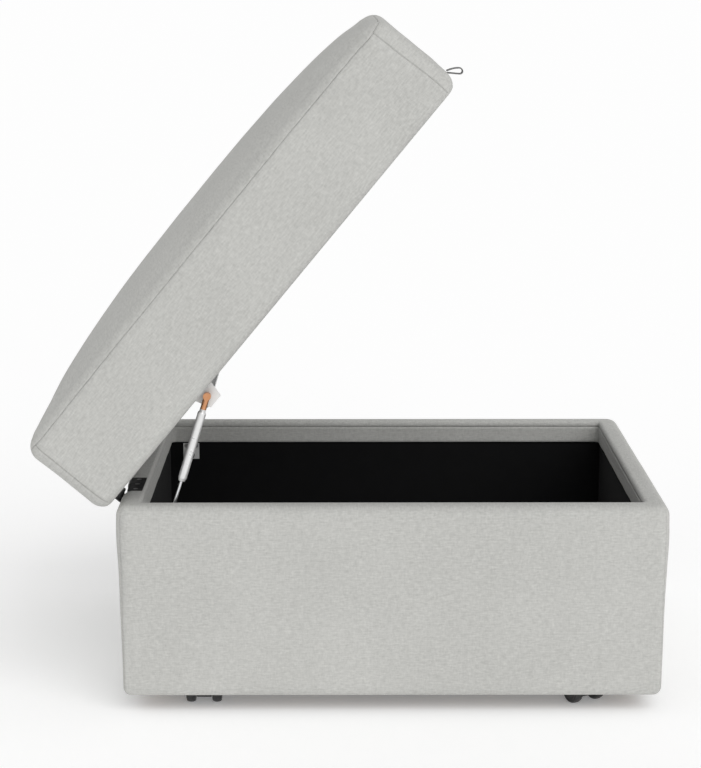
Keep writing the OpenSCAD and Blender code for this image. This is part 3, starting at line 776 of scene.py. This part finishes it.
# The lid's cloth overlaps the turned-in linen by a few millimetres.
BLACK_CLOTH = 0.5 * MM
under_z = lid_lo.z - BLACK_CLOTH / 2
lap = Vector((6 * MM, 6 * MM, 0))
cover_lo, cover_hi = hem_lo - lap, hem_hi + lap
cover_lo.z = cover_hi.z = under_z
sheet = stapled_cloth(cover_lo, cover_hi, 3.0)
leaves = closed_box("left_hinge_lid_leaf"), closed_box("right_hinge_lid_leaf")
lay_threads(sheet, lid_mid, lid_half, LID_CORNER)
bmesh.ops.transform(sheet, matrix=open_lid, verts=sheet.verts)
lid_under = make_piece(sheet, "lid_underside_cloth", non_woven, "lid",
                       ["lid_dust_cover"], BLACK_CLOTH)
pins = bmesh.new()
inner_lo, inner_hi = cover_lo + lap, cover_hi - lap
clear = 8 * MM
staples(pins, [(p, a) for p, a in staple_row(inner_lo, inner_hi, under_z - 0.1 * MM, 5.0)
               if not any(l.x - clear < p.x < h.x + clear and p.y > l.y - clear
                          for l, h in leaves)])
bmesh.ops.transform(pins, matrix=open_lid, verts=pins.verts)
make_piece(pins, "lid_staples", bright_steel, "lid")

# The bottom cloth is cut out round the four caster plates.
dust_lo, dust_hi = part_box("bottom_dust_cover")
swivels = [Vector(j["pos_m"]) for name, j in joints.items() if name.endswith("_swivel")]
PLATE_HALF = 21.5 * MM
sheet = stapled_cloth(dust_lo, Vector((dust_hi.x, dust_hi.y, dust_lo.z)), 9.0, swivels, PLATE_HALF)
lay_threads(sheet, base_mid, base_half, CORNER)
base_under = make_piece(sheet, "base_underside_cloth", non_woven, "root",
                        ["bottom_dust_cover"], BLACK_CLOTH)
pins = bmesh.new()
edge = Vector((7 * MM, 7 * MM, 0))
staples(pins, staple_row(dust_lo + edge, dust_hi - edge, dust_lo.z - 0.15 * MM, 8.0, 60 * MM))
hem = Vector((20.5 * MM, 20.5 * MM, 0))
hem_z = base_lo.z - HEM_SAG - 0.1 * MM
staples(pins, staple_row(base_lo + hem, base_hi - hem, hem_z, 2.0, 45 * MM))
make_piece(pins, "base_staples", bright_steel, "root")

# ---- Lift strap ----
# A loop of dark grey woven tape is sewn into the lid's lower front edge. It
# is what a hand pulls to raise the lid.


def webbing(name):
    material, shader, make = new_material(name, roughness=0.8, Specular_IOR_Level=0.3,
                                          Sheen_Weight=0.1, Sheen_Roughness=0.4)
    weave = make("UVMap", uv_map="weave").outputs[0]
    axes = make("SeparateXYZ", {0: weave})
    turns = [math_node(make, "MULTIPLY", axes.outputs[axis], 2 * math.pi / pitch)
             for axis, pitch in ((0, 1.5 * MM), (1, 1.1 * MM))]
    ribs, picks = [math_node(make, "SINE", turn) for turn in turns]
    height = math_node(make, "MULTIPLY", ribs, picks)
    fuzz = stretched_noise(make, weave, (900, 900, 1), 3.0)
    tone = weighted_sum(make, (height, 0.25), (fuzz, 1.0))
    colour = two_tones(make, tone, (0.13, 0.13, 0.13), (0.27, 0.27, 0.265))
    connect(make, material, shader, colour, height, 0.6, 0.3 * MM)
    return material


STRAP_WIDE, STRAP_THICK, LOOP_END = 17 * MM, 1.8 * MM, 4.3 * MM
STRAIGHT, STRAP_STEPS = 19 * MM, 8
DROOP, CURL, NARROWING = math.radians(40), math.radians(8), 0.05
strap = bmesh.new()
root = Vector((0, lid_lo.y + 1.5 * MM, lid_lo.z + 3.8 * MM))
ends = [strap.verts.new((x, 0, LOOP_END * 0.35)) for x in (-STRAP_WIDE / 2, STRAP_WIDE / 2)]
edge = [strap.edges.new(ends)]


def pull_edge(bm, edges, vec):
    made = bmesh.ops.extrude_edge_only(bm, edges=edges)["geom"]
    bmesh.ops.translate(bm, vec=vec, verts=[g for g in made if isinstance(g, bmesh.types.BMVert)])
    verts = {g for g in made if isinstance(g, bmesh.types.BMVert)}
    return [g for g in made if isinstance(g, bmesh.types.BMEdge) and set(g.verts) <= verts]


bulge = [LOOP_END * 0.65 * math.sin(i / STRAP_STEPS * math.pi / 2)
         for i in range(STRAP_STEPS + 1)]
rises = [after - before for before, after in zip(bulge, bulge[1:])]
for rise in rises:
    edge = pull_edge(strap, edge, (0, -STRAIGHT / STRAP_STEPS, rise))
turned = bmesh.ops.spin(strap, geom=edge + list(edge[0].verts), cent=(0, -STRAIGHT, 0),
                        axis=(1, 0, 0), angle=math.pi, steps=12, use_merge=False,
                        use_duplicate=False)["geom_last"]
edge = [g for g in turned if isinstance(g, bmesh.types.BMEdge)]
for rise in reversed(rises):
    edge = pull_edge(strap, edge, (0, STRAIGHT / STRAP_STEPS, rise))
bmesh.ops.recalc_face_normals(strap, faces=strap.faces[:])
layer = strap.loops.layers.uv.new("weave")
for face in strap.faces:
    for loop in face.loops:
        co = loop.vert.co
        loop[layer].uv = (co.x, co.y + co.z * 2)
slices(strap, 0, -STRAP_WIDE / 4, STRAP_WIDE / 4, STRAP_WIDE / 4)
for vert in strap.verts:
    t = max(0.0, -vert.co.y / (STRAIGHT + LOOP_END))
    angle = DROOP + CURL * t
    vert.co.x *= 1 - NARROWING * t
    y, z = vert.co.y, vert.co.z
    vert.co.y = y * math.cos(angle) - z * math.sin(angle)
    vert.co.z = y * math.sin(angle) + z * math.cos(angle)
bmesh.ops.translate(strap, vec=root, verts=strap.verts)
bmesh.ops.transform(strap, matrix=open_lid, verts=strap.verts)
lift_strap = make_piece(strap, "lift_strap", webbing("grey_webbing"), "lid",
                        ["pull_loop"], STRAP_THICK)
lift_strap.modifiers["thickness"].offset = 0
soft_edge = lift_strap.modifiers.new("edges", "BEVEL")
soft_edge.width, soft_edge.segments, soft_edge.limit_method = 0.5 * MM, 2, "ANGLE"

# ---- Plywood and timber ----
# The box and the lid's board are birch plywood: the faces show the grain and
# the edges show the plies. The blocks and packers are solid hardwood.


PLIES, BOARD_THICK = 9, 15 * MM


def plywood(name, thick_axis, grain_axis, thickness, start):
    """Plywood whose plies are stacked along one axis and whose face grain runs along another."""
    material, shader, make = new_material(name, roughness=0.62, Specular_IOR_Level=0.35)
    place = make("TexCoord").outputs["Object"]
    scale = [60.0, 60.0, 60.0]
    scale[grain_axis] = 3.0
    grain = stretched_noise(make, place, tuple(scale), 5.0, 0.65)
    fine = [420.0, 420.0, 420.0]
    fine[grain_axis] = 9.0
    fibre = stretched_noise(make, place, tuple(fine), 3.0, 0.6)
    axes = make("SeparateXYZ", {0: place})
    depth = math_node(make, "SUBTRACT", axes.outputs[thick_axis], start)
    ply = math_node(make, "SINE", math_node(make, "MULTIPLY", depth, math.pi * PLIES / thickness))
    dark_ply = math_node(make, "MULTIPLY", math_node(make, "GREATER_THAN", ply, 0.0), 0.35)
    tone = weighted_sum(make, (grain, 0.75), (fibre, 0.35))
    tone = math_node(make, "SUBTRACT", tone, dark_ply)
    colour = two_tones(make, tone, (0.36, 0.22, 0.11), (0.72, 0.54, 0.34))
    connect(make, material, shader, colour, fibre, 0.25, 0.2 * MM)
    return material


def hardwood(name, grain_axis):
    material, shader, make = new_material(name, roughness=0.55, Specular_IOR_Level=0.4)
    place = make("TexCoord").outputs["Object"]
    scale = [140.0, 140.0, 140.0]
    scale[grain_axis] = 6.0
    grain = stretched_noise(make, place, tuple(scale), 5.0, 0.7)
    connect(make, material, shader, two_tones(make, grain, (0.22, 0.115, 0.05), (0.50, 0.31, 0.16)),
            grain, 0.3, 0.2 * MM)
    return material


def dress(material, *names):
    """Gives CAD parts their finish."""
    for name in names:
        mesh = nodes[name].data
        mesh.materials.clear()
        mesh.materials.append(material)


for name, thick_axis, grain_axis in (("front_panel", 1, 0), ("rear_panel", 1, 0),
                                     ("left_panel", 0, 1), ("right_panel", 0, 1),
                                     ("bottom_panel", 2, 1)):
    lo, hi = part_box(name)
    thickness = (hi - lo)[thick_axis]
    dress(plywood("plywood_" + name, thick_axis, grain_axis, thickness, lo[thick_axis]), name)
dress(plywood("plywood_lid_board", 0, 1, BOARD_THICK, 0.0), "lid_board")
dress(hardwood("beech_blocks", 0), "glue_blocks", "hinge_packers")

# ---- Lining of the box ----
# Thin boards wrapped in black cloth line the walls and the floor. They stand
# inside the plywood, and the inner band's folded edge covers their tops.


def lining(name):
    material, shader, make = new_material(name, roughness=0.95, Specular_IOR_Level=0.12,
                                          Sheen_Weight=0.04, Sheen_Roughness=0.5)
    place = make("TexCoord").outputs["Object"]
    threads = make("TexVoronoi", {"Vector": place, "Scale": 900.0, "Randomness": 0.4})
    cloud = stretched_noise(make, place, (40, 40, 40), 3.0)
    fuzz = stretched_noise(make, place, (700, 700, 700), 3.0)
    tone = weighted_sum(make, (fuzz, 0.7), (cloud, 0.4))
    colour = two_tones(make, tone, (0.0035, 0.0035, 0.0037), (0.0095, 0.0095, 0.010))
    connect(make, material, shader, colour, threads.outputs["Distance"], 0.5, 0.3 * MM)
    return material


dress(lining("black_lining_cloth"), "front_liner", "rear_liner", "left_liner", "right_liner",
      "liner_floor")

# ---- Hinges ----
# Each pressed steel hinge is painted black: a leaf screwed to the rim, a leaf
# under the lid, and a bright steel pin through the rolled knuckles.


def painted(name, dark, light, roughness, metallic=0.0, bump=0.15):
    """Painted or plated metal: a fine orange-peel skin with a little wear in its gloss."""
    material, shader, make = new_material(name, roughness=roughness, metallic=metallic)
    place = make("TexCoord").outputs["Object"]
    peel = stretched_noise(make, place, (700, 700, 700), 2.0)
    cloud = stretched_noise(make, place, (90, 90, 90), 4.0, 0.6)
    spread = make("MapRange", {0: cloud, 1: 0.3, 2: 0.7, 3: roughness * 0.8,
                               4: min(1.0, roughness * 1.25)})
    connect(make, material, shader, two_tones(make, cloud, dark, light), peel, bump, 0.1 * MM,
            rough=spread.outputs[0])
    return material


black_paint = painted("black_paint", (0.010, 0.010, 0.011), (0.024, 0.024, 0.025), 0.42)
zinc = painted("zinc_plate", (0.50, 0.51, 0.52), (0.72, 0.72, 0.70), 0.33, 1.0)
# Zinc for the strut brackets, made pale and barely metallic: a painted reflection that stands in for
# the light the plating catches inside the dark box.
pale_zinc = painted("pale_zinc", (0.74, 0.74, 0.73), (0.90, 0.90, 0.88), 0.45, 0.15)
for side in ("left", "right"):
    dress(black_paint, side + "_hinge_base_leaf", side + "_hinge_lid_leaf")
    dress(zinc, side + "_hinge_pin")

# ---- Gas struts ----
# A plated tube holds the gas and a polished rod slides in it. The eye on the
# tube is copper coloured, the eye on the rod is black plastic.
tube_steel = painted("tube_steel", (0.74, 0.74, 0.74), (0.86, 0.86, 0.85), 0.30, 0.55, 0.05)
chrome = painted("polished_steel", (0.66, 0.67, 0.69), (0.80, 0.80, 0.81), 0.12, 1.0, 0.03)
copper = painted("copper_plate", (0.55, 0.24, 0.11), (0.76, 0.40, 0.22), 0.34, 0.85)
plastic = painted("black_plastic", (0.012, 0.012, 0.013), (0.026, 0.026, 0.027), 0.48, 0.0, 0.3)
dress(zinc, "base_screws", "lid_screws")
LATHE_STEPS = 40
# Half of the tube's section from its low end: the radius and the way along, in millimetres.
TUBE = [(2.7, 0.0), (4.3, 0.0), (4.9, 0.5), (5.0, 2.2), (5.25, 3.2), (5.9, 4.2), (6.0, 5.4),
        (6.0, 30.0), (6.0, 60.0), (6.0, 84.0), (6.0, 100.4), (5.85, 101.8), (5.2, 102.8),
        (4.6, 103.0), (4.5, 107.0), (0.0, 107.0)]


def turn_on_lathe(section, closed, centre, along):
    """Spins points of radius and way along, in millimetres, about an axis."""
    bm = bmesh.new()
    verts = [bm.verts.new((radius * MM, 0, way * MM)) for radius, way in section]
    following = verts[1:] + verts[:1] if closed else verts[1:]
    line = [bm.edges.new(pair) for pair in zip(verts, following)]
    bmesh.ops.spin(bm, geom=verts + line, cent=(0, 0, 0), axis=(0, 0, 1), angle=2 * math.pi,
                   steps=LATHE_STEPS, use_merge=True)
    bmesh.ops.remove_doubles(bm, verts=bm.verts, dist=1e-6)
    bmesh.ops.recalc_face_normals(bm, faces=bm.faces[:])
    place = Matrix.Translation(centre) @ along.to_track_quat("Z", "X").to_matrix().to_4x4()
    bmesh.ops.transform(bm, matrix=place, verts=bm.verts)
    return bm


for side in ("left", "right"):
    dress(chrome, side + "_strut_rod")
    dress(copper, side + "_strut_top_eye")
    dress(plastic, side + "_strut_low_eye")
    # The brackets take the zinc with a painted reflection, whose pale colour stands in for the light
    # they catch.
    dress(pale_zinc, side + "_strut_lid_bracket", side + "_strut_low_bracket")
    along = Vector(joints[side + "_strut_slide"]["axis"]).normalized()
    if along.z < 0:
        along = -along
    low = Vector(joints[side + "_strut_swing"]["pos_m"])
    start = min((v.co - low).dot(along) for v in nodes[side + "_strut_tube"].data.vertices)
    tube = turn_on_lathe(TUBE, False, low + along * start, along)
    make_piece(tube, side + "_gas_tube", tube_steel, side + "_strut_upper",
               [side + "_strut_tube"])

# ---- Casters ----
# Four twin-wheel casters with black nylon wheels and forks, screwed on by
# zinc-plated steel plates. Each wheel turns on a plated axle.
wheel_nylon = painted("wheel_nylon", (0.016, 0.016, 0.017), (0.032, 0.032, 0.033), 0.38, 0.0, 0.25)
HUB, HALF_WIDTH = 3.3, 7.6
# The wheel's section in millimetres: the radius and the way across.
WHEEL = [(HUB, -HALF_WIDTH), (7.0, -HALF_WIDTH), (8.4, -6.4), (12.0, -5.6), (15.2, -6.0),
         (16.6, -6.9), (18.2, -6.3), (19.4, -4.6), (19.92, -2.2), (20.0, 0.0), (19.92, 2.2),
         (19.4, 4.6), (18.2, 6.3), (16.6, 6.9), (15.2, 6.0), (12.0, 5.6), (8.4, 6.4),
         (7.0, HALF_WIDTH), (HUB, HALF_WIDTH)]
dress(zinc, "caster_plates")
for corner in ("rear_left", "front_left", "rear_right", "front_right"):
    dress(plastic, corner + "_fork")
    dress(zinc, corner + "_axle")
    for letter in ("a", "b"):
        name = corner + "_wheel_" + letter
        across = Vector(joints[name + "_spin"]["axis"]).normalized()
        centre = Vector(joints[name + "_spin"]["pos_m"])
        reach = [(v.co - centre).dot(across) for v in nodes[name].data.vertices]
        centre += across * (min(reach) + max(reach)) / 2
        wheel = turn_on_lathe(WHEEL, True, centre, across)
        tread = make_piece(wheel, name + "_tread", wheel_nylon, name + "_body",
                           [name])
        smooth = tread.modifiers.new("smooth", "SUBSURF")
        smooth.levels = smooth.render_levels = 1

# ---- Floor, camera and light ----
# The ottoman stands on a plain white floor under a wide, soft light from the
# near side, with pale light all round.
FLOOR_SIZE, FLOOR_GLOW, ROOM_LIGHT = 600, 0.20, 0.59
KEY_ENERGY, KEY_SPREAD, KEY_DIRECTION = 1.24, math.radians(55), Vector((0.71, 0.37, -0.60))
CAMERA_PLACE, LENS = (-3.088, 0.006, 1.019), 97.7
pitch, yaw = math.radians(11.05), math.radians(0.18)
bpy.ops.mesh.primitive_plane_add(size=FLOOR_SIZE, location=(0, 0, 0))
floor = bpy.context.object
floor.name = "studio_floor"
floor_finish = new_material("studio_floor", roughness=0.95, Specular_IOR_Level=0.0,
                            Base_Color=(0.95, 0.95, 0.95, 1), Emission_Color=(1, 1, 1, 1),
                            Emission_Strength=FLOOR_GLOW)[0]
floor.data.materials.append(floor_finish)

camera = bpy.data.objects.new("camera", bpy.data.cameras.new("camera"))
scene.collection.objects.link(camera)
camera.data.sensor_width = 36
camera.data.lens = LENS
camera.data.clip_end = 1000
camera.location = CAMERA_PLACE
forward = Vector((math.cos(pitch) * math.cos(yaw), -math.sin(yaw) * math.cos(pitch),
                  -math.sin(pitch)))
camera.rotation_mode = "QUATERNION"
camera.rotation_quaternion = forward.to_track_quat("-Z", "Y")
scene.camera = camera

world = bpy.data.worlds.new("studio")
scene.world = world
world.use_nodes = True
background = world.node_tree.nodes["Background"]
background.inputs["Color"].default_value = (1, 1, 1, 1)
background.inputs["Strength"].default_value = ROOM_LIGHT

light = bpy.data.lights.new("soft_key", "SUN")
light.energy = KEY_ENERGY
light.angle = KEY_SPREAD
lamp = bpy.data.objects.new("soft_key", light)
scene.collection.objects.link(lamp)
lamp.rotation_mode = "QUATERNION"
lamp.rotation_quaternion = KEY_DIRECTION.to_track_quat("-Z", "Y")
scene.view_settings.view_transform = "Standard"
